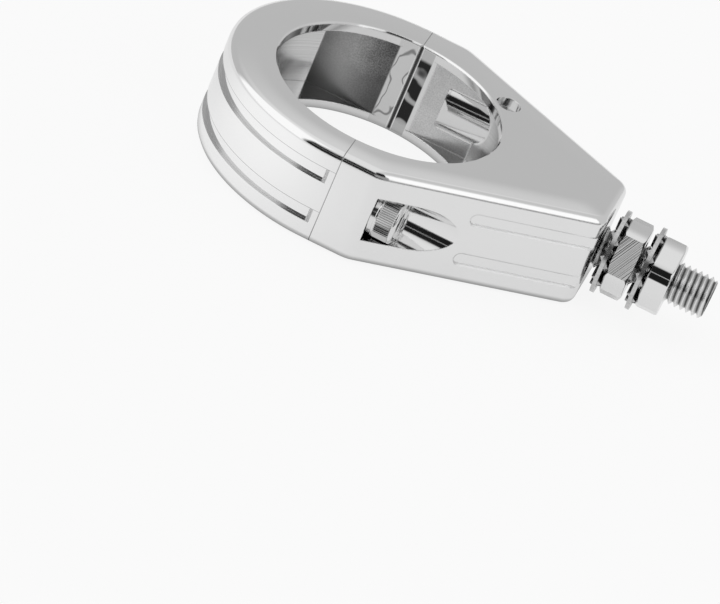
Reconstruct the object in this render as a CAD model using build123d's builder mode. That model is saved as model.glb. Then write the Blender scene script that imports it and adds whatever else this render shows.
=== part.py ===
from build123d import *
from math import cos, radians, sin, tan
import os

os.makedirs("parts", exist_ok=True)

# Fork clamp: a body and a cap close on a fork tube with two socket screws,
# and a hollow threaded stud on the nose carries a lamp between its nuts.
# Millimetres. X runs along the stud, Z along the fork tube, and the origin is
# the middle of the bore at half the clamp's height.

# Fork tube and ring
FORK_D = 43.0
HEIGHT = 19.0
LIP = 1.9
SIDE_Y = 29.3
CAP_SHIFT = 1.2
EDGE_R = 1.6
CAP_EDGE_FLATS = 4
BORE_EDGE = 0.3
SPLIT_EDGE = 0.4

# Plan of the body, from the ring to the nose
CORNER_X = 7.5
CORNER_R = 6.0
NOSE_X = 45.7
NOSE_Y = 8.2
NOSE_R = 3.3

# Hollow between the lips
BOSS_FLAT_Y = 21.3
CAP_HOLLOW_R = 27.5
BODY_HOLLOW_R = 26.2

# Grooves round the cap and along the nose
GROOVE_Z = 4.25
CAP_GROOVE = 2.7
CAP_GROOVE_DEPTH = 0.8
NOSE_GROOVE = 2.4
NOSE_GROOVE_DEPTH = 0.45
NOSE_GROOVE_START = 25.2

# Clamping screws, M5 by 16 with a 4 mm socket
SCREW_Y = 25.0
SCREW_D = 5.0
SCREW_LENGTH = 16.0
HEAD_D = 8.5
HEAD_H = 5.0
HEAD_RIM = 0.45
SOCKET_AF = 4.0
SOCKET_DEPTH = 2.6
SCREW_PASS = 0.25
THREAD_GAP = 0.05
TAP_DEPTH = 8.2

# Scooped pockets that take the screw heads
POCKET_X = 8.4
POCKET_R = 4.5
POCKET_WALL = 1.0
POCKET_LIP = 0.8

# Hole for the lamp wire in the upper lip
WIRE_X = 19.1
WIRE_Y = 15.6
WIRE_D = 4.7
WIRE_STEP = 0.4

# Hollow stud, M8, and what is threaded on it. A bare thread is a cylinder as
# wide as its crests, and one inside a nut or the nose is as wide as its pitch.
STUD_D = 8.0
STUD_BORE = 4.8
STUD_REACH = 21.9
STUD_LENGTH = 38.0
TIP_CHAMFER = 0.6
THREAD_HALF_DEPTH = 0.4
FREE_END_GAP = 0.25
NUT_AF = 13.0
NUT_H = 4.2
NUT_FACE_R = 6.8
NUT_EDGE_ANGLE = 30.0
NUT_MOUTH = 0.8
NUT_STANDOFF = 3.25
NUT_SPACING = 7.0
INNER_NUT_TURN = 1.6
OUTER_NUT_TURN = 25.7
WASHER_D = 16.1
WASHER_T = 0.75
WASHER_RIM_R = 6.15
TEETH = 9
TOOTH_WIDTH = 2.5
TOOTH_TWIST = 36.0
TOOTH_TIP_R = 4.25
TOOTH_ROOT = 0.6
FIRST_TOOTH = 12.0

BORE_R = FORK_D / 2
HALF_H = HEIGHT / 2
CEILING = HALF_H - LIP
STUD_R = STUD_D / 2
PITCH_R = STUD_R - THREAD_HALF_DEPTH
STUD_TIP_X = NOSE_X + STUD_REACH
INNER_NUT_X = NOSE_X + NUT_STANDOFF
OUTER_NUT_X = INNER_NUT_X + NUT_SPACING
TAPER_DIR = Vector(NOSE_X - CORNER_X, SIDE_Y - NOSE_Y, 0).normalized()


def outside_edges(solid):
    """Edges of the upper and lower faces, apart from those on the split."""
    ends = solid.faces().filter_by(Axis.Z)
    edges = ends.sort_by(Axis.Z)[-1].edges() + ends.sort_by(Axis.Z)[0].edges()
    return edges.filter_by(lambda edge: abs(edge.center().X) > 0.01)


def bore_edges(solid):
    """Half circles where the bore meets the upper and lower faces."""
    arcs = solid.edges().filter_by(GeomType.CIRCLE)
    return arcs.filter_by(lambda edge: abs(edge.radius - BORE_R) < 0.01
                          and abs(abs(edge.center().Z) - HALF_H) < 0.01)


def split_edges(solid):
    """Upright edges where the bore meets the split."""
    upright = solid.edges().filter_by(Axis.Z)
    return upright.filter_by(lambda edge: abs(edge.center().X) < 0.01
                             and abs(abs(edge.center().Y) - BORE_R) < 0.01)


# Room that is cut out of the cap between its lips
with BuildPart() as cap_hollow:
    with BuildSketch(Plane.XY.offset(-CEILING)):
        Circle(CAP_HOLLOW_R)
        Rectangle(2 * CAP_HOLLOW_R, 2 * BOSS_FLAT_Y, mode=Mode.INTERSECT)
    extrude(amount=2 * CEILING)

# Room that is cut out of the body, which leaves a wall round each pocket
with BuildPart() as body_hollow:
    with BuildSketch(Plane.XY.offset(-CEILING)):
        Circle(BODY_HOLLOW_R)
        Rectangle(2 * BODY_HOLLOW_R, 2 * BOSS_FLAT_Y, mode=Mode.INTERSECT)
    extrude(amount=2 * CEILING)
    with BuildSketch(Plane.YZ.offset(POCKET_X - POCKET_LIP)):
        with Locations((SCREW_Y, 0), (-SCREW_Y, 0)):
            Circle(POCKET_R + POCKET_WALL)
    extrude(amount=BODY_HOLLOW_R, mode=Mode.SUBTRACT)

# Body: ring half, tapering nose, screw pockets, wire hole and stud thread
with BuildPart() as clamp_body:
    with BuildSketch(Plane.XY.offset(-HALF_H)) as body_plan:
        with BuildLine():
            Polyline((0, -SIDE_Y), (CORNER_X, -SIDE_Y), (NOSE_X, -NOSE_Y),
                     (NOSE_X, NOSE_Y), (CORNER_X, SIDE_Y), (0, SIDE_Y), close=True)
        make_face()
        shoulders = body_plan.vertices().group_by(Axis.X)[1]
        fillet(shoulders, CORNER_R)
        nose_corners = body_plan.vertices().group_by(Axis.X)[-1]
        fillet(nose_corners, NOSE_R)
    extrude(amount=HEIGHT)
    fillet(outside_edges(clamp_body), EDGE_R)
    Cylinder(BORE_R, HEIGHT, mode=Mode.SUBTRACT)
    chamfer(split_edges(clamp_body), SPLIT_EDGE)
    chamfer(bore_edges(clamp_body), BORE_EDGE)
    add(body_hollow.part, mode=Mode.SUBTRACT)
    # Scoops that the screw heads sink into, open along the nose
    with BuildSketch(Plane.YZ.offset(POCKET_X)):
        with Locations((SCREW_Y, 0), (-SCREW_Y, 0)):
            Circle(POCKET_R)
        with Locations((SCREW_Y + POCKET_R, 0), (-SCREW_Y - POCKET_R, 0)):
            Rectangle(2 * POCKET_R, 2 * POCKET_R)
    extrude(amount=NOSE_X / 2, mode=Mode.SUBTRACT)
    with BuildSketch(Plane.YZ):
        with Locations((SCREW_Y, 0), (-SCREW_Y, 0)):
            Circle(SCREW_D / 2 + SCREW_PASS)
    extrude(amount=POCKET_X, mode=Mode.SUBTRACT)
    # Threaded hole for the stud, from the nose into the hollow
    with BuildSketch(Plane.YZ.offset(NOSE_X)):
        Circle(PITCH_R + THREAD_GAP)
    extrude(amount=BORE_R - NOSE_X, mode=Mode.SUBTRACT)
    with BuildSketch(Plane.XY.offset(HALF_H)):
        with Locations((WIRE_X, WIRE_Y)):
            Circle(WIRE_D / 2)
    extrude(amount=-LIP - WIRE_STEP, mode=Mode.SUBTRACT)
    # Two grooves in each tapering side, round at the pocket end
    for side in (1, -1):
        along = Vector(TAPER_DIR.X, -side * TAPER_DIR.Y, 0)
        outward = Vector(TAPER_DIR.Y, side * TAPER_DIR.X, 0)
        wall = Plane(origin=(CORNER_X, side * SIDE_Y, 0), x_dir=along, z_dir=outward)
        start = (NOSE_GROOVE_START - CORNER_X) / TAPER_DIR.X
        with BuildSketch(wall):
            with Locations((start + NOSE_X / 2, GROOVE_Z), (start + NOSE_X / 2, -GROOVE_Z)):
                Rectangle(NOSE_X, NOSE_GROOVE)
            with Locations((start, GROOVE_Z), (start, -GROOVE_Z)):
                Circle(NOSE_GROOVE / 2)
        extrude(amount=-NOSE_GROOVE_DEPTH, mode=Mode.SUBTRACT)


def cap_section():
    """Corners of half the cap's outline, its edges rounded in short flats."""
    upper = [(0, HALF_H)]
    for step in range(CAP_EDGE_FLATS + 1):
        turn = radians(90 * step / CAP_EDGE_FLATS)
        upper.append((SIDE_Y - EDGE_R + EDGE_R * sin(turn), HALF_H - EDGE_R + EDGE_R * cos(turn)))
    lower = [(across, -height) for across, height in reversed(upper)]
    return upper + lower


# Cap: the other ring half, thicker at its back, with two turned grooves that
# ramp out before the split
with BuildPart() as clamp_cap:
    with BuildSketch(Plane.YZ.offset(-CAP_SHIFT)):
        with BuildLine():
            Polyline(*cap_section(), close=True)
        make_face()
    revolve(axis=Axis((-CAP_SHIFT, 0, 0), (0, 0, 1)), revolution_arc=180)
    with BuildSketch(Plane.YZ.offset(-CAP_SHIFT)):
        with BuildLine():
            Polyline(*cap_section(), close=True)
        make_face()
        mirror(about=Plane.YZ)
    extrude(amount=CAP_SHIFT)
    Cylinder(BORE_R, HEIGHT, mode=Mode.SUBTRACT)
    chamfer(split_edges(clamp_cap), SPLIT_EDGE)
    chamfer(bore_edges(clamp_cap), BORE_EDGE)
    add(cap_hollow.part, mode=Mode.SUBTRACT)
    for level in (GROOVE_Z, -GROOVE_Z):
        with BuildSketch(Plane.XY.offset(level - CAP_GROOVE / 2)):
            with Locations((-CAP_SHIFT, 0)):
                Circle(SIDE_Y + EDGE_R)
                Circle(SIDE_Y - CAP_GROOVE_DEPTH, mode=Mode.SUBTRACT)
            with BuildLine():
                Polyline((-CAP_SHIFT, -2 * SIDE_Y), (-CAP_SHIFT, -SIDE_Y),
                         (-CAP_SHIFT - CAP_GROOVE_DEPTH, CAP_GROOVE_DEPTH - SIDE_Y),
                         (-CAP_SHIFT - CAP_GROOVE_DEPTH, SIDE_Y - CAP_GROOVE_DEPTH),
                         (-CAP_SHIFT, SIDE_Y), (-CAP_SHIFT, 2 * SIDE_Y),
                         (-2 * SIDE_Y, 2 * SIDE_Y), (-2 * SIDE_Y, -2 * SIDE_Y), close=True)
            make_face(mode=Mode.INTERSECT)
        extrude(amount=CAP_GROOVE, mode=Mode.SUBTRACT)
    with BuildSketch(Plane.YZ):
        with Locations((SCREW_Y, 0), (-SCREW_Y, 0)):
            Circle(SCREW_D / 2 + THREAD_GAP)
    extrude(amount=-TAP_DEPTH, mode=Mode.SUBTRACT)


def make_screw(y):
    """Socket head screw at one side, its head on the pocket's seat."""
    with BuildPart() as screw:
        with BuildSketch(Plane.YZ.offset(POCKET_X)):
            with Locations((y, 0)):
                Circle(HEAD_D / 2)
        extrude(amount=HEAD_H)
        head_rims = screw.edges().filter_by(GeomType.CIRCLE).sort_by(Axis.X)
        chamfer(head_rims[-1], HEAD_RIM)
        with BuildSketch(Plane.YZ.offset(POCKET_X + HEAD_H)):
            with Locations((y, 0)):
                RegularPolygon(SOCKET_AF / 2, 6, major_radius=False)
        extrude(amount=-SOCKET_DEPTH, mode=Mode.SUBTRACT)
        with BuildSketch(Plane.YZ.offset(POCKET_X)):
            with Locations((y, 0)):
                Circle(SCREW_D / 2)
        extrude(amount=-SCREW_LENGTH)
    return screw.part


# Stud: hollow for the lamp's wire, screwed into the nose
with BuildPart() as stud:
    with BuildSketch(Plane.YZ.offset(STUD_TIP_X - STUD_LENGTH)):
        Circle(STUD_R)
    extrude(amount=STUD_LENGTH)
    stud_rims = stud.edges().filter_by(GeomType.CIRCLE).sort_by(Axis.X)
    chamfer(stud_rims[-1], TIP_CHAMFER)
    with BuildSketch(Plane.YZ.offset(STUD_TIP_X)):
        Circle(STUD_BORE / 2)
    extrude(amount=-STUD_LENGTH, mode=Mode.SUBTRACT)
    # Lengths whose thread is engaged: in the nose, and from the inner nut to the outer one
    engaged = {
        STUD_TIP_X - STUD_LENGTH: NOSE_X,
        INNER_NUT_X: OUTER_NUT_X + NUT_H + FREE_END_GAP,
    }
    for start, end in engaged.items():
        with BuildSketch(Plane.YZ.offset(start)):
            Circle(STUD_R)
            Circle(PITCH_R, mode=Mode.SUBTRACT)
        extrude(amount=end - start, mode=Mode.SUBTRACT)


def make_nut(x, turn):
    """Thin hexagon nut from x outward, its corners turned off on both faces."""
    corner_r = NUT_AF / 2 / cos(radians(30)) + 0.1
    slope = (corner_r - NUT_FACE_R) * tan(radians(NUT_EDGE_ANGLE))
    with BuildPart() as nut:
        with BuildSketch(Plane.YZ.offset(x)):
            RegularPolygon(NUT_AF / 2, 6, major_radius=False, rotation=turn)
        extrude(amount=NUT_H)
        with BuildSketch(Plane.XY):
            with BuildLine():
                Polyline((x, 0), (x, NUT_FACE_R), (x + slope, corner_r),
                         (x + NUT_H - slope, corner_r), (x + NUT_H, NUT_FACE_R),
                         (x + NUT_H, 0), close=True)
            make_face()
        revolve(axis=Axis.X, mode=Mode.INTERSECT)
        with BuildSketch(Plane.YZ.offset(x)):
            Circle(PITCH_R + THREAD_GAP)
        extrude(amount=NUT_H, mode=Mode.SUBTRACT)
        rims = nut.edges().filter_by(GeomType.CIRCLE).sort_by(Axis.X)
        mouths = rims.filter_by(lambda edge: edge.radius < STUD_R)
        chamfer(mouths[-1], NUT_MOUTH)
    return nut.part


def make_washer(nut_x):
    """Internal tooth lock washer whose twisted teeth bear on the nut face at nut_x."""
    reach = (TOOTH_WIDTH * sin(radians(TOOTH_TWIST)) + WASHER_T * cos(radians(TOOTH_TWIST))) / 2
    middle = nut_x - reach
    with BuildPart() as washer:
        with BuildSketch(Plane.YZ.offset(middle - WASHER_T / 2)):
            Circle(WASHER_D / 2)
            Circle(WASHER_RIM_R, mode=Mode.SUBTRACT)
        extrude(amount=WASHER_T)
        for index in range(TEETH):
            turn = radians(360 * index / TEETH + FIRST_TOOTH)
            spoke = Vector(0, cos(turn), sin(turn))
            blade = Plane(origin=Vector(middle, 0, 0) + spoke * TOOTH_TIP_R,
                          x_dir=(1, 0, 0), z_dir=spoke)
            with BuildSketch(blade):
                Rectangle(WASHER_T, TOOTH_WIDTH, rotation=TOOTH_TWIST)
            extrude(amount=WASHER_RIM_R - TOOTH_TIP_R + TOOTH_ROOT)
    return washer.part


pieces = {
    "clamp_body": clamp_body.part,
    "clamp_cap": clamp_cap.part,
    "cap_screw_left": make_screw(SCREW_Y),
    "cap_screw_right": make_screw(-SCREW_Y),
    "stud": stud.part,
    "lock_washer_inner": make_washer(INNER_NUT_X),
    "jam_nut_inner": make_nut(INNER_NUT_X, INNER_NUT_TURN),
    "lock_washer_outer": make_washer(OUTER_NUT_X),
    "jam_nut_outer": make_nut(OUTER_NUT_X, OUTER_NUT_TURN),
}

for name, piece in pieces.items():
    piece.label = name
    export_step(piece, f"parts/{name}.step")
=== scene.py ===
import bpy
import math
import numpy as np
from mathutils import Matrix, Vector


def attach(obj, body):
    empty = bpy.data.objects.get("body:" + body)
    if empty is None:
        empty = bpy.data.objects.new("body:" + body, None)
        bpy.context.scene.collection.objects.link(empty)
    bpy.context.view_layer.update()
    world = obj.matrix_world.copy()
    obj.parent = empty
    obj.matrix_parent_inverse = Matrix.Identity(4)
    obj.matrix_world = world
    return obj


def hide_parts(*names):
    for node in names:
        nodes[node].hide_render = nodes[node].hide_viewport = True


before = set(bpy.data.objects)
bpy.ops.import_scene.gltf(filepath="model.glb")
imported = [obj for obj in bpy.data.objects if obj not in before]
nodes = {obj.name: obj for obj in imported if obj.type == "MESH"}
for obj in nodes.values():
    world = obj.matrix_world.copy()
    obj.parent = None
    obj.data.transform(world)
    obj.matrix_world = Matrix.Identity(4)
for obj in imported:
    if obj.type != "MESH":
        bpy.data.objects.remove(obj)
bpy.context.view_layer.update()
MM = 0.001

# Clamp body
# Half ring and tapered nose in one zinc die casting, polished and chrome plated
# outside. The hollow between its lips keeps the grain of the casting.
BORE_R = 21.5 * MM
HALF_HEIGHT = 9.5 * MM
NOSE_X = 45.7 * MM
HOLLOW_CEILING = 7.6 * MM
HOLLOW_BACK_R = 27.65 * MM
HOLLOW_FLAT_Y = 21.3 * MM
SCREW_Y = 25.0 * MM
BOSS_X = 8.2 * MM
BOSS_R = 5.7 * MM
GROOVE_Z = 4.25 * MM
GROOVE_HALF = 1.35 * MM
CAP_R = 29.3 * MM
CAP_CENTRE_X = -1.2 * MM
CAP_GROOVES_R = 25.1 * MM
NOSE_GROOVES_X = 23.5 * MM
EDGE_R = 1.6 * MM
SEAT_X = 8.4 * MM
HEAD_TOP_X = 13.4 * MM
PAINTED_SEAM_X = (-4.1 * MM, 2.9 * MM)
CAP_REFLECTION_BLOB = (1.9 * MM, 8.2 * MM)
# The taper's side: its normal's X and Y, and its distance from the bore's axis
TAPER = (0.4835, 0.8753, 29.27 * MM)
CHROME = 0.86


def new_material(name):
    """A material, its node tree and its Principled shader."""
    material = bpy.data.materials.new(name)
    material.use_nodes = True
    return material, material.node_tree, material.node_tree.nodes["Principled BSDF"]


def add(tree, kind, **settings):
    """A node of that kind with its settings."""
    node = tree.nodes.new(kind)
    for key, value in settings.items():
        setattr(node, key, value)
    return node


def put(tree, value, socket):
    """Feeds a socket from another socket, or sets it to a plain number or colour."""
    if isinstance(value, bpy.types.NodeSocket):
        tree.links.new(value, socket)
    else:
        socket.default_value = value


def calc(tree, operation, first, second=0.0, third=0.0):
    """One Math node on sockets or plain numbers, and its result."""
    node = add(tree, "ShaderNodeMath", operation=operation)
    for value, socket in zip((first, second, third), node.inputs):
        put(tree, value, socket)
    return node.outputs[0]


def product(tree, first, *others):
    """All the values multiplied."""
    for other in others:
        first = calc(tree, "MULTIPLY", first, other)
    return first


def length_of(tree, first, second):
    """Length of a vector with these two parts."""
    squares = calc(tree, "MULTIPLY_ADD", second, second, calc(tree, "MULTIPLY", first, first))
    return calc(tree, "SQRT", squares)


def ramp(tree, value, start, end, low=0.0, high=1.0):
    """The value's place between start and end, eased, as a number between low and high."""
    node = add(tree, "ShaderNodeMapRange", interpolation_type="SMOOTHSTEP")
    for number, key in ((value, "Value"), (start, "From Min"), (end, "From Max"),
                        (low, "To Min"), (high, "To Max")):
        put(tree, number, node.inputs[key])
    return node.outputs[0]


def over(tree, value, edge, soft):
    """0 below the edge and 1 above it, eased over soft on either side."""
    return ramp(tree, value, edge - soft, edge + soft)


def under(tree, value, edge, soft):
    """1 below the edge and 0 above it, eased over soft on either side."""
    return ramp(tree, value, edge - soft, edge + soft, 1.0, 0.0)


def near(tree, value, middle, edge, soft):
    """1 where the value is within edge of the middle, 0 beyond, eased over soft."""
    return under(tree, calc(tree, "ABSOLUTE", calc(tree, "SUBTRACT", value, middle)), edge, soft)


def blend(tree, share, first, second):
    """First and second mixed by share, as numbers or as normals."""
    kind = "VECTOR" if getattr(first, "type", "") == "VECTOR" else "FLOAT"
    node = add(tree, "ShaderNodeMix", data_type=kind)
    sockets = [socket for socket in node.inputs if socket.enabled]
    for value, socket in zip((share, first, second), sockets):
        put(tree, value, socket)
    return [socket for socket in node.outputs if socket.enabled][0]


def grey(tree, value):
    """A neutral colour as bright as the value."""
    node = add(tree, "ShaderNodeCombineColor")
    for socket in node.inputs:
        put(tree, value, socket)
    return node.outputs[0]


def bump(tree, height, depth, normal):
    """The normal, tilted by a height that stands for depth metres at 1."""
    node = add(tree, "ShaderNodeBump")
    put(tree, height, node.inputs["Height"])
    put(tree, depth, node.inputs["Distance"])
    if normal is not None:
        put(tree, normal, node.inputs["Normal"])
    return node.outputs[0]


def noise(tree, vector, scale, detail=2.0, dimensions="3D"):
    """Smooth noise between 0 and 1, over a vector or along one number."""
    node = add(tree, "ShaderNodeTexNoise", noise_dimensions=dimensions)
    put(tree, vector, node.inputs["W" if dimensions == "1D" else "Vector"])
    put(tree, scale, node.inputs["Scale"])
    put(tree, detail, node.inputs["Detail"])
    return node.outputs[0]


def split(tree, vector):
    """X, Y and Z of a vector."""
    node = add(tree, "ShaderNodeSeparateXYZ")
    tree.links.new(vector, node.inputs[0])
    return node.outputs["X"], node.outputs["Y"], node.outputs["Z"]


def place_parts(tree):
    """Object coordinates as a vector and as x, y and z."""
    place = add(tree, "ShaderNodeTexCoord").outputs["Object"]
    return (place, *split(tree, place))


def new_group(name, takes, gives):
    """A shader node group with the named inputs (and their defaults) and outputs."""
    group = bpy.data.node_groups.new(name, "ShaderNodeTree")
    kinds = {"v": "NodeSocketVector", "f": "NodeSocketFloat"}
    for label, kind, default in takes:
        socket = group.interface.new_socket(name=label, in_out="INPUT", socket_type=kinds[kind])
        if default is not None:
            socket.default_value = default
    for label, kind in gives:
        group.interface.new_socket(name=label, in_out="OUTPUT", socket_type=kinds[kind])
    return group, add(group, "NodeGroupInput").outputs, add(group, "NodeGroupOutput").inputs


def use_group(tree, group, **values):
    """The group placed in a material with these values, and its outputs."""
    node = add(tree, "ShaderNodeGroup", node_tree=group)
    for key, value in values.items():
        put(tree, value, node.inputs[key])
    return node.outputs


# Plating: a slow swell left by the buffing wheel, a fine ripple and a haze
plating, have, give = new_group(
    "plating", (("Place", "v", None), ("Swell", "f", 0.02 * MM), ("Ripple", "f", 0.0004 * MM),
                ("Haze", "f", 0.04), ("Spread", "f", 0.05), ("Normal", "v", None)),
    (("Roughness", "f"), ("Normal", "v")))
swell = bump(plating, noise(plating, have["Place"], 55.0, 1.0), have["Swell"], have["Normal"])
ripple = bump(plating, noise(plating, have["Place"], 1300.0), have["Ripple"], swell)
smear = ramp(plating, noise(plating, have["Place"], 130.0, 4.0), 0.45, 0.75)
put(plating, ripple, give["Normal"])
put(plating, calc(plating, "MULTIPLY_ADD", smear, have["Spread"], have["Haze"]), give["Roughness"])

# Cast grain: pits and lumps of a surface that was plated as it left the die
cast_grain, have, give = new_group(
    "cast_grain", (("Place", "v", None), ("Size", "f", 0.4 * MM), ("Depth", "f", 0.02 * MM),
                   ("Normal", "v", None)),
    (("Tone", "f"), ("Normal", "v")))
per_metre = calc(cast_grain, "DIVIDE", 1.0, have["Size"])
grains = noise(cast_grain, have["Place"], per_metre, 3.0)
clouds = noise(cast_grain, have["Place"], calc(cast_grain, "MULTIPLY", per_metre, 0.09), 2.0)
put(cast_grain, bump(cast_grain, grains, have["Depth"], have["Normal"]), give["Normal"])
put(cast_grain, calc(cast_grain, "MULTIPLY", ramp(cast_grain, grains, 0.3, 0.7, 0.55, 1.2),
                     ramp(cast_grain, clouds, 0.35, 0.65, 0.85, 1.15)), give["Tone"])

# Tool lines: the fine parallel marks of a cutter or a brush, uneven in depth
tool_lines, have, give = new_group(
    "tool_lines", (("Across", "f", 0.0), ("Spacing", "f", 0.3 * MM), ("Depth", "f", 0.002 * MM),
                   ("Normal", "v", None)),
    (("Tone", "f"), ("Normal", "v")))
lines = noise(tool_lines, calc(tool_lines, "DIVIDE", have["Across"], have["Spacing"]), 1.0, 1.0, "1D")
put(tool_lines, bump(tool_lines, lines, have["Depth"], have["Normal"]), give["Normal"])
put(tool_lines, ramp(tool_lines, lines, 0.3, 0.7), give["Tone"])

# Outline: how far a place lies within the clamp's outline, seen along the bore.
# The depth is the least of those within the cap's arc, the taper's side and the
# nose's end, and the corners between them are eased.
outline, have, give = new_group("outline", (("Place", "v", None),), (("Depth", "f"),))
along, side, _ = split(outline, have["Place"])
side = calc(outline, "ABSOLUTE", side)
behind = calc(outline, "MINIMUM", calc(outline, "SUBTRACT", along, CAP_CENTRE_X), 0.0)
within_arc = calc(outline, "SUBTRACT", CAP_R, length_of(outline, behind, side))
outward = calc(outline, "MULTIPLY_ADD", along, TAPER[0], calc(outline, "MULTIPLY", side, TAPER[1]))
within_taper = calc(outline, "SUBTRACT", TAPER[2], outward)
depth = calc(outline, "SMOOTH_MIN", within_arc, within_taper, 1.5 * MM)
depth = calc(outline, "SMOOTH_MIN", depth, calc(outline, "SUBTRACT", NOSE_X, along), 3.0 * MM)
put(outline, depth, give["Depth"])

ring_finish, tree, shader = new_material("ring_finish")
place, x, y, z = place_parts(tree)
side = calc(tree, "ABSOLUTE", y)
level = calc(tree, "ABSOLUTE", z)
radius = length_of(tree, x, y)
depth = use_group(tree, outline, Place=place)["Depth"]
from_screw = length_of(tree, calc(tree, "SUBTRACT", side, SCREW_Y), z)
in_cap = under(tree, x, 0.0, 0.1 * MM)

# Where the casting is bare of polish: inside the hollow, but not on a screw's boss
inside = product(tree, over(tree, radius, BORE_R + 0.11 * MM, 0.05 * MM),
                 under(tree, level, HOLLOW_CEILING + 0.06 * MM, 0.04 * MM),
                 under(tree, radius, HOLLOW_BACK_R, 0.05 * MM),
                 under(tree, side, HOLLOW_FLAT_Y + 0.15 * MM, 0.05 * MM))
boss = product(tree, over(tree, x, BOSS_X, 0.1 * MM), under(tree, from_screw, BOSS_R, 0.1 * MM))
inside = calc(tree, "MULTIPLY", inside, calc(tree, "SUBTRACT", 1.0, boss))
flat_wall = calc(tree, "MULTIPLY", inside, over(tree, side, HOLLOW_FLAT_Y - 0.1 * MM, 0.05 * MM))

# The wheel rounds every edge, least in the cap's grooves and most in the nose's
groove_band = near(tree, level, GROOVE_Z, GROOVE_HALF + 0.5 * MM, 0.1 * MM)
cap_groove = product(tree, in_cap, groove_band, over(tree, radius, CAP_GROOVES_R, 0.1 * MM))
nose_groove = product(tree, groove_band, over(tree, x, NOSE_GROOVES_X, 0.5 * MM),
                      under(tree, depth, 1.05 * MM, 0.05 * MM))
edge_r = blend(tree, cap_groove, blend(tree, nose_groove, 0.3 * MM, 0.5 * MM), 0.13 * MM)
soft_edge = add(tree, "ShaderNodeBevel", samples=4)
put(tree, edge_r, soft_edge.inputs["Radius"])
rounded = soft_edge.outputs[0]
# It also makes the flat faces fall away toward the outline, by the height given here
fallen = bump(tree, ramp(tree, depth, -2.0 * MM, 6.0 * MM, -0.95 * MM, 0.0), 1.0, rounded)
buffed = blend(tree, over(tree, level, HALF_HEIGHT - EDGE_R - 0.01 * MM, 0.03 * MM), rounded, fallen)

polished = use_group(tree, plating, Place=place, Swell=0.02 * MM, Ripple=0.0004 * MM, Haze=0.035,
                     Spread=0.08, Normal=buffed)
grain = use_group(tree, cast_grain, Place=place, Size=0.3 * MM, Depth=0.009 * MM, Normal=rounded)
turned = use_group(tree, tool_lines, Across=z, Spacing=0.22 * MM, Depth=0.0012 * MM, Normal=rounded)

# The cap's flat wall carries painted shade, darker toward the seam and the lower lip; the body's is light
speckled = product(tree, ramp(tree, x, -14.0 * MM, -6.0 * MM, 0.3, 1.0),
                   ramp(tree, z, -5.0 * MM, 4.0 * MM, 0.4, 1.0))
shaded_cap_wall = product(tree, ramp(tree, x, -12.0 * MM, -4.5 * MM, 0.46, 0.17),
                   ramp(tree, x, -20.0 * MM, -12.0 * MM, 0.6, 1.0),
                   ramp(tree, z, -7.0 * MM, 6.0 * MM, 0.7, 1.15),
                   blend(tree, speckled, 1.0, grain["Tone"]))
body_wall = calc(tree, "MULTIPLY_ADD", grain["Tone"], 0.22, 0.55)
flat_tone = calc(tree, "MINIMUM", blend(tree, in_cap, body_wall, shaded_cap_wall), 0.85)
round_tone = calc(tree, "MULTIPLY_ADD", turned["Tone"], 0.1, 0.72)
tone = blend(tree, inside, CHROME, blend(tree, flat_wall, round_tone, flat_tone))

# Beside the seam, painted reflections stand for the sharp-edged blobs that the plating
# mirrors: in the body a row of dark ones, one per wave of a sine along the bore, in
# the cap the wavy outline of one large one. Both waves are bent by the same noise.
painted_seam_band = product(tree, under(tree, radius, BORE_R + 0.11 * MM, 0.05 * MM),
                under(tree, level, HALF_HEIGHT - 0.5 * MM, 0.1 * MM),
                over(tree, x, PAINTED_SEAM_X[0], 0.1 * MM), under(tree, x, PAINTED_SEAM_X[1], 0.1 * MM))
wobble = calc(tree, "SUBTRACT", noise(tree, place, 240.0, 1.0), 0.5)
wave = calc(tree, "MULTIPLY_ADD", wobble, 7.0, calc(tree, "MULTIPLY_ADD", z, 1.15 / MM, 0.6))
body_painted_reflection = ramp(tree, calc(tree, "SINE", wave), -1.0, -0.3, 0.5, 0.03)
body_painted_reflection = blend(tree, over(tree, level, 6.8 * MM, 0.4 * MM), body_painted_reflection, 0.6)
off_middle = calc(tree, "ABSOLUTE", calc(tree, "MULTIPLY_ADD", x, 1 / CAP_REFLECTION_BLOB[0], 1.0))
oval = calc(tree, "MAXIMUM", off_middle, calc(tree, "MULTIPLY", level, 1 / CAP_REFLECTION_BLOB[1]))
oval = calc(tree, "ABSOLUTE", calc(tree, "SUBTRACT", calc(tree, "MULTIPLY_ADD", wobble, 2.2, oval), 0.75))
cap_painted_reflection = ramp(tree, oval, 0.02, 0.13, 0.3, 0.74)
tone = blend(tree, painted_seam_band, tone, blend(tree, in_cap, body_painted_reflection, cap_painted_reflection))

# Painted shade and highlight: shade on the seam outside, then on each cap groove's
# lower ledge, which is also rougher, and a thin shade along its upper edge, a
# highlight on the seam's rims and shade in its dark gap inside the bore, and shade
# in the pocket round the screw head
from_seam = calc(tree, "ABSOLUTE", x)
in_groove = calc(tree, "SUBTRACT", z, calc(tree, "MULTIPLY", calc(tree, "SIGN", z), GROOVE_Z))
outer_seam_shade = product(tree, under(tree, from_seam, 0.08 * MM, 0.04 * MM),
                     over(tree, radius, BORE_R + 0.45 * MM, 0.05 * MM))
shaded_rough_ledge = product(tree, in_cap, near(tree, in_groove, -GROOVE_HALF, 0.04 * MM, 0.02 * MM),
                over(tree, depth, 0.06 * MM, 0.04 * MM), under(tree, depth, 0.95 * MM, 0.05 * MM))
upper_edge_shade = product(tree, in_cap, near(tree, in_groove, GROOVE_HALF + 0.07 * MM, 0.05 * MM, 0.03 * MM),
                     under(tree, depth, 0.075 * MM, 0.025 * MM))
seam_rim_highlight = product(tree, near(tree, from_seam, 0.45 * MM, 0.095 * MM, 0.045 * MM), painted_seam_band)
inner_seam_shade = product(tree, under(tree, from_seam, 0.27 * MM, 0.07 * MM),
                     under(tree, radius, BORE_R + 0.5 * MM, 0.05 * MM),
                     under(tree, level, HALF_HEIGHT - 0.4 * MM, 0.1 * MM))
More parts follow.
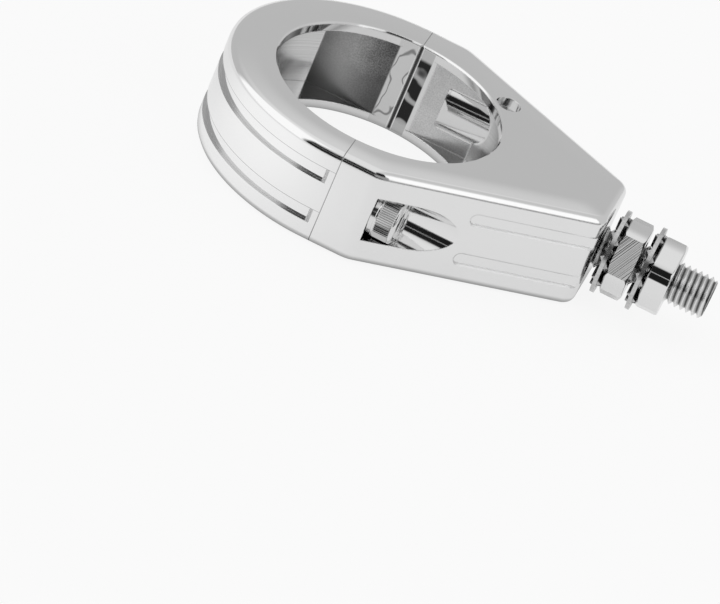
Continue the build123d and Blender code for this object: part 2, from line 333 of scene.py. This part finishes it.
pocket_shade = product(tree, over(tree, x, SEAT_X - 0.075 * MM, 0.025 * MM),
                      under(tree, x, HEAD_TOP_X - 0.3 * MM, 0.3 * MM),
                      under(tree, from_screw, 4.6 * MM, 0.05 * MM))
# Each mask lays its painted shade, or the rims' painted highlight, over the tone
for mask, shade in ((outer_seam_shade, 0.38), (shaded_rough_ledge, 0.6), (upper_edge_shade, 0.5), (seam_rim_highlight, 0.95),
                    (inner_seam_shade, 0.28), (pocket_shade, 0.13)):
    tone = blend(tree, mask, tone, shade)

rough = blend(tree, inside, polished["Roughness"], blend(tree, flat_wall, 0.14, 0.34))
rough = blend(tree, shaded_rough_ledge, rough, 0.29)
normal = blend(tree, inside, polished["Normal"], blend(tree, flat_wall, turned["Normal"], grain["Normal"]))
put(tree, grey(tree, tone), shader.inputs["Base Color"])
put(tree, 1.0, shader.inputs["Metallic"])
put(tree, rough, shader.inputs["Roughness"])
put(tree, normal, shader.inputs["Normal"])


def dress(piece, material):
    """Gives a piece or a CAD node this one material."""
    piece.data.materials.clear()
    piece.data.materials.append(material)


dress(nodes["clamp_body"], ring_finish)

# Clamp cap
# The other half ring, cast and plated in the same way. Its rounded edges come as
# flats, so a copy with the normals of the true round stands for the node.


def round_edges(piece, source):
    """The source mesh, whose rounded edges get a torus's normals.

    The rounding is a quarter circle of radius EDGE_R about a line that lies
    EDGE_R inside the outline and the end faces, so a point's normal there is its
    offset from that line: outward by its distance from the cap's axis, and up or
    down by its height. Faces that aren't slanted keep their own normals.
    """
    mesh = source.data.copy()
    count = len(mesh.loops)
    corner = np.empty(count, dtype=np.int32)
    mesh.loops.foreach_get("vertex_index", corner)
    points = np.empty(len(mesh.vertices) * 3)
    mesh.vertices.foreach_get("co", points)
    points = points.reshape(-1, 3)[corner]
    normals = np.empty(count * 3)
    mesh.corner_normals.foreach_get("vector", normals)
    normals = normals.reshape(-1, 3)
    facing = np.empty(len(mesh.polygons) * 3)
    mesh.polygons.foreach_get("normal", facing)
    upright = np.abs(np.repeat(facing.reshape(-1, 3)[:, 2], 3))
    spoke = np.stack((np.minimum(points[:, 0] - CAP_CENTRE_X, 0), points[:, 1]), axis=1)
    reach = np.hypot(spoke[:, 0], spoke[:, 1])
    outward = reach - (CAP_R - EDGE_R)
    upward = np.abs(points[:, 2]) - (HALF_HEIGHT - EDGE_R)
    slanted = (upright > 0.05) & (upright < 0.999)
    rounded = slanted & (outward > -0.02 * MM) & (upward > -0.02 * MM)
    round_normals = np.stack((spoke[:, 0] / reach * outward, spoke[:, 1] / reach * outward,
                              np.sign(points[:, 2]) * upward), axis=1)
    round_normals /= np.linalg.norm(round_normals, axis=1, keepdims=True) + 1e-12
    normals[rounded] = round_normals[rounded]
    mesh.normals_split_custom_set(normals.tolist())
    piece.data = mesh


cap = bpy.data.objects.new("cap_shell", nodes["clamp_cap"].data)
bpy.context.scene.collection.objects.link(cap)
round_edges(cap, nodes["clamp_cap"])
dress(cap, ring_finish)
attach(cap, "root")
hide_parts("clamp_cap")

# Cap screws
# M5 socket head screws of chromed steel with straight knurled heads. They go in
# from the nose side, through the body, and pull on the thread in the cap.
SHANK_END_X = -7.6 * MM
SHANK_R = 2.5 * MM
SHANK_ROOT_R = 2.06 * MM
SHANK_TIP_R = 1.9 * MM
SCREW_PITCH = 0.8 * MM
KNURLS = 60
KNURL_DEPTH = 0.18 * MM
SOCKET_FLAT = 2.0 * MM
SOCKET_FLOOR_X = 10.8 * MM
# The head's outline: place along X and radius, both in mm, and its share of the knurl
HEAD_OUTLINE = (
    (8.4, 2.4, 0), (8.4, 3.9, 0), (8.5, 4.0, 0), (9.2, 4.0, 0), (9.3, 4.22, 0), (9.42, 4.25, 0),
    (9.62, 4.25, 0), (9.75, 4.2, 0.7), (9.95, 4.25, 1), (12.4, 4.25, 1), (12.6, 4.2, 0.7),
    (12.72, 4.25, 0), (12.92, 4.25, 0), (13.05, 4.2, 0), (13.36, 3.86, 0), (13.4, 3.74, 0))


def turned_point(along, radius, angle):
    """Points at this distance along X, radius and angle from +Y towards +Z."""
    along, radius, angle = np.broadcast_arrays(along, radius, angle)
    return np.stack((along, radius * np.cos(angle), radius * np.sin(angle)), axis=-1)


def skin(name, shells, sharp_degrees):
    """One object from shells of rings, points[ring, turn, xyz].

    Each ring joins the next, and its last point the first. The first and last
    rings are filled, or joined to each other where the shell is marked hollow.
    A shell whose signed volume is negative has its faces turned round.
    """
    all_points, all_faces, start = [], [], 0
    for points, hollow in shells:
        rings, turns = points.shape[:2]
        index = np.arange(rings * turns).reshape(rings, turns)
        below = index if hollow else index[:-1]
        above = np.roll(index, -1, axis=0) if hollow else index[1:]
        quads = np.stack((below, above, np.roll(above, -1, axis=1), np.roll(below, -1, axis=1)), axis=-1)
        quads = quads.reshape(-1, 4)
        flat = points.reshape(-1, 3)
        first, second, third = flat[quads[:, 0]], flat[quads[:, 1]], flat[quads[:, 2]]
        volume = np.einsum("ij,ij->", first, np.cross(second, third))
        faces = quads.tolist()
        if not hollow:
            faces += [index[0].tolist(), index[-1][::-1].tolist()]
        if volume < 0:
            faces = [face[::-1] for face in faces]
        all_faces += [[corner + start for corner in face] for face in faces]
        all_points.append(flat)
        start += len(flat)
    mesh = bpy.data.meshes.new(name)
    mesh.from_pydata(np.concatenate(all_points).tolist(), [], all_faces)
    mesh.shade_smooth()
    mesh.set_sharp_from_angle(angle=math.radians(sharp_degrees))
    piece = bpy.data.objects.new(name, mesh)
    bpy.context.scene.collection.objects.link(piece)
    return piece


def thread_radius(along, angle, pitch, crest, root):
    """Radius of a right-hand thread.

    Height falls evenly from crest to root and back once per pitch, with a tenth
    of the slope cut flat at both, and the wave moves on by a pitch each turn.
    """
    wave = np.abs(2 * np.mod(along / pitch - angle / (2 * np.pi), 1) - 1)
    height = np.clip(1.2 * wave - 0.1, 0, 1)
    return root + (crest - root) * height


def socket_screw(name, middle_y):
    """A head of revolution whose radius waves round the knurl, and a threaded shank.

    In the knurl the radius is the outline's less a depth that follows a cosine
    with KNURLS waves round the head. The socket's radius is its half width over
    the cosine of the angle from the nearest flat's middle. The shank's radius is
    the thread's, kept under a 45 degree cone at its end.
    """
    angle = np.arange(KNURLS * 6) * (2 * np.pi / (KNURLS * 6))
    wave = 0.5 - 0.5 * np.cos(KNURLS * angle)
    hexagon = SOCKET_FLAT / np.cos(np.mod(angle, np.pi / 3) - np.pi / 6)
    ring = np.ones_like(angle)
    head = []
    for along, ring_r, share in HEAD_OUTLINE:
        head.append(turned_point(along * MM, ring_r * MM * ring - share * KNURL_DEPTH * wave, angle))
    for along, grow in ((HEAD_TOP_X, 0.3 * MM), (HEAD_TOP_X - 0.05 * MM, 0.18 * MM),
                        (HEAD_TOP_X - 0.25 * MM, 0.0), (SOCKET_FLOOR_X, 0.0)):
        head.append(turned_point(along, hexagon + grow, angle))
    head.append(turned_point(SOCKET_FLOOR_X - 0.3 * MM, 0.4 * MM * ring, angle))
    along = np.arange(SHANK_END_X, SEAT_X, SCREW_PITCH / 10)
    along = np.append(along, SEAT_X)[:, None]
    turn = np.arange(40)[None, :] * (2 * np.pi / 40)
    shank_r = thread_radius(along, turn, SCREW_PITCH, SHANK_R, SHANK_ROOT_R)
    shank_r = np.minimum(shank_r, SHANK_TIP_R + (along - SHANK_END_X))
    shank = turned_point(along, shank_r, turn)
    to_side = np.array((0.0, middle_y, 0.0))
    return skin(name, ((np.stack(head) + to_side, False), (shank + to_side, False)), 35)


screw_finish, tree, shader = new_material("screw_finish")
place, x, y, z = place_parts(tree)
from_axis = length_of(tree, calc(tree, "SUBTRACT", calc(tree, "ABSOLUTE", y), SCREW_Y), z)
polished = use_group(tree, plating, Place=place, Swell=0.004 * MM, Ripple=0.0006 * MM, Haze=0.16,
                     Spread=0.12)
# Painted shade darkens the socket and the roots of the shank's thread, and the
# knurl is darker than the collars beside it
tone = ramp(tree, from_axis, 1.9 * MM, 2.4 * MM, 0.35, 0.8)
knurled = product(tree, over(tree, from_axis, 3.95 * MM, 0.05 * MM), over(tree, x, 9.75 * MM, 0.05 * MM),
                  under(tree, x, 12.675 * MM, 0.075 * MM))
tone = blend(tree, knurled, tone, 0.58)
put(tree, grey(tree, tone), shader.inputs["Base Color"])
put(tree, 1.0, shader.inputs["Metallic"])
put(tree, polished["Roughness"], shader.inputs["Roughness"])
put(tree, polished["Normal"], shader.inputs["Normal"])
for name, node, middle_y in (("socket_screw_left", "cap_screw_left", SCREW_Y),
                             ("socket_screw_right", "cap_screw_right", -SCREW_Y)):
    screw = socket_screw(name, middle_y)
    dress(screw, screw_finish)
    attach(screw, "root")
    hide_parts(node)

# Stud
# Hollow 8 mm steel stud, thread cut over its whole length, bright zinc plated.
# It is screwed into the nose, and the lamp's wire runs through it.
STUD_START_X = 29.6 * MM
STUD_TIP_X = 67.6 * MM
STUD_R = 4.0 * MM
STUD_ROOT_R = 3.3 * MM
STUD_TIP_R = 3.35 * MM
STUD_BORE_R = 2.4 * MM
STUD_PITCH = 1.15 * MM
FIRST_CREST = 0.45 * MM
ENGAGED_R = 3.6 * MM
NUTS_X = (48.95 * MM, 55.95 * MM)
NUT_LENGTH = 4.2 * MM


def hollow_stud(name):
    """A threaded tube: the thread's radius outside, a plain bore inside.

    The radius stays under ENGAGED_R where a nut or the nose holds the thread, and
    under a 45 degree cone at the tip. The outer rings run out to the tip, and the
    bore's rings lead back to the start. Rings are close where the thread shows.
    """
    angle = np.arange(72)[None, :] * (2 * np.pi / 72)
    shown_from = NOSE_X - 0.4 * MM
    hidden = np.arange(STUD_START_X, shown_from, 0.8 * MM)
    shown = np.arange(shown_from, STUD_TIP_X, 0.05 * MM)
    along = np.concatenate((hidden, shown, [STUD_TIP_X]))[:, None]
    radius = thread_radius(along + FIRST_CREST, angle, STUD_PITCH, STUD_R, STUD_ROOT_R)
    held = along < NOSE_X
    for nut_x in NUTS_X:
        held = held | ((along > nut_x) & (along < nut_x + NUT_LENGTH))
    radius = np.where(held, np.minimum(radius, ENGAGED_R), radius)
    radius = np.minimum(radius, STUD_TIP_R + (STUD_TIP_X - along))
    outside = turned_point(along, radius, angle)
    break_edge = 0.25 * MM
    bore_x = np.array((STUD_TIP_X, STUD_TIP_X - break_edge, STUD_START_X + break_edge, STUD_START_X))[:, None]
    bore_r = np.array((STUD_BORE_R + 0.2 * MM, STUD_BORE_R, STUD_BORE_R, STUD_BORE_R + 0.2 * MM))[:, None]
    bore = turned_point(bore_x, bore_r, angle)
    return skin(name, ((np.concatenate((outside, bore)), True),), 50)


stud_finish, tree, shader = new_material("stud_finish")
place, x, y, z = place_parts(tree)
radius = length_of(tree, y, z)
lines = use_group(tree, tool_lines, Across=radius, Spacing=0.12 * MM, Depth=0.004 * MM)
bright = use_group(tree, plating, Place=place, Swell=0.003 * MM, Ripple=0.0012 * MM, Haze=0.16,
                   Spread=0.15, Normal=lines["Normal"])
# Painted shade darkens the thread's root, and a painted highlight brightens it toward its crests
tone = product(tree, ramp(tree, radius, STUD_ROOT_R, STUD_ROOT_R + 0.14 * MM, 0.22, 1.0),
               ramp(tree, radius, STUD_ROOT_R, STUD_R, 0.58, 0.92),
               calc(tree, "MULTIPLY_ADD", lines["Tone"], 0.12, 0.9))
# The bore is dark
tone = blend(tree, under(tree, radius, STUD_BORE_R + 0.3 * MM, 0.2 * MM), tone, 0.12)
put(tree, grey(tree, tone), shader.inputs["Base Color"])
put(tree, 1.0, shader.inputs["Metallic"])
put(tree, bright["Roughness"], shader.inputs["Roughness"])
put(tree, bright["Normal"], shader.inputs["Normal"])
stud = hollow_stud("threaded_stud")
dress(stud, stud_finish)
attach(stud, "root")
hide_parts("stud")

# Lock washers
# Stamped spring steel with twisted inner teeth, with painted shade over the teeth
# where they lie between washer and nut, and lighter on the rim. One lies under each nut.
TEETH_END_R = 6.0 * MM
RIM_R = 6.6 * MM
WASHER_R = 8.0 * MM
washer_finish, tree, shader = new_material("washer_finish")
place, x, y, z = place_parts(tree)
radius = length_of(tree, y, z)
grain = use_group(tree, cast_grain, Place=place, Size=0.5 * MM, Depth=0.003 * MM)
soil = calc(tree, "MULTIPLY_ADD", grain["Tone"], 0.25, 0.75)
# Painted shade over the teeth, lighter out to the rim
tone = calc(tree, "MULTIPLY", soil, ramp(tree, radius, TEETH_END_R, RIM_R, 0.16, 0.64))
rough = ramp(tree, radius, RIM_R, WASHER_R, 0.4, 0.25)
put(tree, grey(tree, tone), shader.inputs["Base Color"])
put(tree, 1.0, shader.inputs["Metallic"])
put(tree, rough, shader.inputs["Roughness"])
put(tree, grain["Normal"], shader.inputs["Normal"])
for name in ("lock_washer_inner", "lock_washer_outer"):
    dress(nodes[name], washer_finish)

# Jam nuts
# Thin 13 mm hexagon nuts, polished on a wheel that rounded their corners, then
# chrome plated. The inner one keeps a cutter's slanting marks on one flat.
NUT_FLAT_R = 6.5 * MM
END_R = 0.3 * MM
# The marked flat: Y and Z of its normal, the turn that lays X across its marks,
# and what the cutter's hollow adds to its normal
MARKED_FLAT = (-0.87, 0.5)
MARKS_TURN = (0.0, math.radians(-24.87), math.radians(12.83))
MARKED_LEAN = (0.0, 0.05, 0.21)


def hexagon_turn(node):
    """Angle of one flat's normal about X, read off the node's mesh."""
    for face in node.data.polygons:
        if abs(face.normal.x) < 0.01:
            return math.atan2(face.normal.z, face.normal.y)
    return 0.0


def unit_sum(tree, first, second):
    """The sum of two vectors, brought to length 1."""
    total = add(tree, "ShaderNodeVectorMath", operation="ADD")
    put(tree, first, total.inputs[0])
    put(tree, second, total.inputs[1])
    unit = add(tree, "ShaderNodeVectorMath", operation="NORMALIZE")
    put(tree, total.outputs[0], unit.inputs[0])
    return unit.outputs[0]


def worn_corners(tree, facing, turn, span, most, power, start_x):
    """The normal, turned toward the hexagon's corners and the nut's two ends.

    The angle about X, less that of a flat, gives the angle from the nearest
    flat's middle, and its tangent the distance along the flat. Within span of a
    corner the normal turns about X by up to most degrees, as a power of the way
    to the corner. Within END_R of an end it tips toward that end.
    """
    angle = calc(tree, "SUBTRACT", calc(tree, "ARCTAN2", z, y), turn)
    local = calc(tree, "FLOORED_MODULO", calc(tree, "ADD", angle, math.pi / 6), math.pi / 3)
    local = calc(tree, "SUBTRACT", local, math.pi / 6)
    from_middle = calc(tree, "MULTIPLY", calc(tree, "TANGENT", calc(tree, "ABSOLUTE", local)), NUT_FLAT_R)
    half_flat = NUT_FLAT_R * math.tan(math.pi / 6)
    way = calc(tree, "DIVIDE", calc(tree, "SUBTRACT", from_middle, half_flat - span), span)
    way = calc(tree, "POWER", calc(tree, "MINIMUM", calc(tree, "MAXIMUM", way, 0.0), 1.0), power)
    on_flat = under(tree, calc(tree, "ABSOLUTE", split(tree, facing)[0]), 0.3, 0.1)
    turned = add(tree, "ShaderNodeVectorRotate", rotation_type="X_AXIS")
    put(tree, facing, turned.inputs["Vector"])
    lean = product(tree, way, calc(tree, "SIGN", local), on_flat, math.radians(most))
    put(tree, lean, turned.inputs["Angle"])
    end_x = start_x + NUT_LENGTH
    tip = calc(tree, "SUBTRACT", ramp(tree, x, end_x - END_R, end_x),
               ramp(tree, x, start_x, start_x + END_R, 1.0, 0.0))
    tipped = add(tree, "ShaderNodeCombineXYZ")
    put(tree, calc(tree, "MULTIPLY", tip, on_flat), tipped.inputs["X"])
    return unit_sum(tree, turned.outputs[0], tipped.outputs[0])


# Each nut's own wear: span, most degrees and power of the corners' rounding, and
# the depth of the cutter's marks
for name, start_x, span, most, power, mark_depth in (
        ("jam_nut_inner", NUTS_X[0], 3.6 * MM, 28.0, 1.4, 0.012 * MM),
        ("jam_nut_outer", NUTS_X[1], 2.9 * MM, 30.0, 0.7, 0.0)):
    nut_finish, tree, shader = new_material(name + "_finish")
    place, x, y, z = place_parts(tree)
    facing = add(tree, "ShaderNodeNewGeometry").outputs["Normal"]
    normal = worn_corners(tree, facing, hexagon_turn(nodes[name]), span, most, power, start_x)
    tone = CHROME - 0.02
    if mark_depth:
        # The marked flat looks forward and up, and its hollow makes it look higher
        _, facing_y, facing_z = split(tree, facing)
        to_marked = calc(tree, "MULTIPLY_ADD", facing_y, MARKED_FLAT[0],
                         calc(tree, "MULTIPLY", facing_z, MARKED_FLAT[1]))
        marked = over(tree, to_marked, 0.925, 0.025)
        slanted = add(tree, "ShaderNodeMapping")
        put(tree, place, slanted.inputs["Vector"])
        put(tree, MARKS_TURN, slanted.inputs["Rotation"])
        marks = use_group(tree, tool_lines, Across=split(tree, slanted.outputs[0])[0], Spacing=0.15 * MM,
                          Depth=mark_depth, Normal=unit_sum(tree, facing, MARKED_LEAN))
        normal = blend(tree, marked, normal, marks["Normal"])
        tone = blend(tree, marked, tone, ramp(tree, marks["Tone"], 0.1, 0.8, 0.22, 0.74))
    polished = use_group(tree, plating, Place=place, Swell=0.004 * MM, Ripple=0.0003 * MM, Haze=0.05,
                         Spread=0.05, Normal=normal)
    put(tree, grey(tree, tone), shader.inputs["Base Color"])
    put(tree, 1.0, shader.inputs["Metallic"])
    put(tree, polished["Roughness"], shader.inputs["Roughness"])
    put(tree, polished["Normal"], shader.inputs["Normal"])
    dress(nodes[name], nut_finish)

# Studio
# A pale tent with soft boxes on both sides and an open, dark front behind the
# camera. It is all the light there is, and what the metal mirrors.

# A patch is an azimuth from +X, a half width, a lowest and a highest elevation, a
# soft edge and a soft top, in degrees, and its brightness. Later ones lie on top.
TENT = (
    (0.0, 60.0, -10.0, 70.0, 20.0, 20.0, 0.62),
    (-152.0, 32.0, -40.0, 62.0, 12.0, 18.0, 1.1),
    (-34.0, 15.0, 18.0, 46.0, 7.0, 26.0, 1.15),
    (-99.0, 18.0, 4.0, 44.0, 6.0, 6.0, 0.012),
    (-66.0, 17.0, 0.5, 62.0, 4.0, 4.0, 0.012),
    (-63.0, 20.0, 14.0, 33.0, 5.0, 5.0, 0.32),
    (-95.0, 25.0, 25.0, 26.4, 1.0, 1.0, 0.42),
    (-34.0, 24.0, -1.0, 9.0, 4.0, 4.0, 0.26),
    (75.0, 50.0, -89.0, -52.0, 25.0, 25.0, 0.88),
)
world = bpy.data.worlds.new("tent")
bpy.context.scene.world = world
world.use_nodes = True
tree = world.node_tree
direction = add(tree, "ShaderNodeTexCoord").outputs["Generated"]
height = calc(tree, "MULTIPLY", calc(tree, "ARCSINE", split(tree, direction)[2]), 180 / math.pi)
tent = ramp(tree, height, 27.0, 66.0, 0.54, 0.84)
for azimuth, half_width, lowest, highest, soft, soft_top, brightness in TENT:
    turned = add(tree, "ShaderNodeVectorRotate", rotation_type="Z_AXIS")
    put(tree, direction, turned.inputs["Vector"])
    put(tree, math.radians(-azimuth), turned.inputs["Angle"])
    ahead, sideways, _ = split(tree, turned.outputs[0])
    sideways = calc(tree, "ABSOLUTE", calc(tree, "ARCTAN2", sideways, ahead))
    sideways = calc(tree, "MULTIPLY", sideways, 180 / math.pi)
    patch = product(tree, ramp(tree, sideways, half_width, half_width + soft, 1.0, 0.0),
                    ramp(tree, height, lowest - soft, lowest),
                    ramp(tree, height, highest, highest + soft_top, 1.0, 0.0))
    tent = blend(tree, patch, tent, brightness)
# Past the floor's edge the camera sees plain white
tent = blend(tree, add(tree, "ShaderNodeLightPath").outputs["Is Camera Ray"], tent, 1.0)
put(tree, tent, tree.nodes["Background"].inputs["Color"])

# Floor
# White paper under the clamp. The metal sees it with a painted pool of light by the
# left soft box, and with painted shade beneath and inside the ring.
LEFT_BOX_POOL_AT = (-46.0 * MM, -44.0 * MM)
bpy.ops.mesh.primitive_plane_add(size=6, location=(0, 0, -HALF_HEIGHT - 0.02 * MM))
floor = bpy.context.object
floor.name = "floor"
paper, tree, shader = new_material("floor_paper")
place, x, y, z = place_parts(tree)
put(tree, (0.92, 0.92, 0.92, 1), shader.inputs["Base Color"])
put(tree, 0.9, shader.inputs["Roughness"])
# A painted pool of light round the left soft box, and painted shade beneath the ring
from_box = length_of(tree, calc(tree, "SUBTRACT", x, LEFT_BOX_POOL_AT[0]),
                     calc(tree, "SUBTRACT", y, LEFT_BOX_POOL_AT[1]))
painted_light_seen = ramp(tree, from_box, 12.0 * MM, 64.0 * MM, 1.12, 0.86)
depth = use_group(tree, outline, Place=place)["Depth"]
painted_shade_beneath = ramp(tree, depth, -2.5 * MM, 1.0 * MM, 1.0, 0.36)
painted_shade_beneath = blend(tree, over(tree, length_of(tree, x, y), 20.5 * MM, 1.5 * MM), 0.82, painted_shade_beneath)
painted_light_seen = calc(tree, "MULTIPLY", painted_light_seen, painted_shade_beneath)
# The camera sees it as paper in plain light and mirror images see the painted pool
# and shade, each with a share left for the shadow that falls on it
light_path = add(tree, "ShaderNodeLightPath")
camera_ray = light_path.outputs["Is Camera Ray"]
mirrored = calc(tree, "MAXIMUM", light_path.outputs["Is Glossy Ray"],
                light_path.outputs["Is Transmission Ray"])
glow = add(tree, "ShaderNodeEmission")
put(tree, grey(tree, blend(tree, camera_ray, painted_light_seen, 1.0)), glow.inputs["Color"])
share = calc(tree, "MAXIMUM", calc(tree, "MULTIPLY", camera_ray, 0.88), calc(tree, "MULTIPLY", mirrored, 0.8))
lit = add(tree, "ShaderNodeMixShader")
put(tree, share, lit.inputs["Fac"])
put(tree, shader.outputs[0], lit.inputs[1])
put(tree, glow.outputs[0], lit.inputs[2])
# From below, and from the face that lies on it, the paper isn't there, so that
# the underside can be looked at too
touching = under(tree, light_path.outputs["Ray Length"], 0.075 * MM, 0.025 * MM)
unseen = calc(tree, "MAXIMUM", add(tree, "ShaderNodeNewGeometry").outputs["Backfacing"], touching)
surface = add(tree, "ShaderNodeMixShader")
put(tree, unseen, surface.inputs["Fac"])
put(tree, lit.outputs[0], surface.inputs[1])
put(tree, add(tree, "ShaderNodeBsdfTransparent").outputs[0], surface.inputs[2])
put(tree, surface.outputs[0], tree.nodes["Material Output"].inputs["Surface"])
dress(floor, paper)

# Camera
# It looks down by 30 degrees from in front of the pocket, turned on its axis as in
# the photograph. Its place and axes were fitted to the clamp's outline there.
CAMERA_AT = Vector((0.09644, -0.93066, 0.50315))
CAMERA_RIGHT = Vector((0.89448, 0.2824, 0.34662))
CAMERA_UP = Vector((-0.43986, 0.41687, 0.79545))
CAMERA_BACK = Vector((0.08014, -0.86398, 0.4971))
camera_data = bpy.data.cameras.new("camera")
camera_data.sensor_width = 36.0
camera_data.lens = 295.1
camera = bpy.data.objects.new("camera", camera_data)
bpy.context.scene.collection.objects.link(camera)
turn = Matrix((CAMERA_RIGHT, CAMERA_UP, CAMERA_BACK)).transposed().to_4x4()
camera.matrix_world = Matrix.Translation(CAMERA_AT) @ turn
bpy.context.scene.camera = camera
bpy.context.scene.view_settings.view_transform = "Standard"
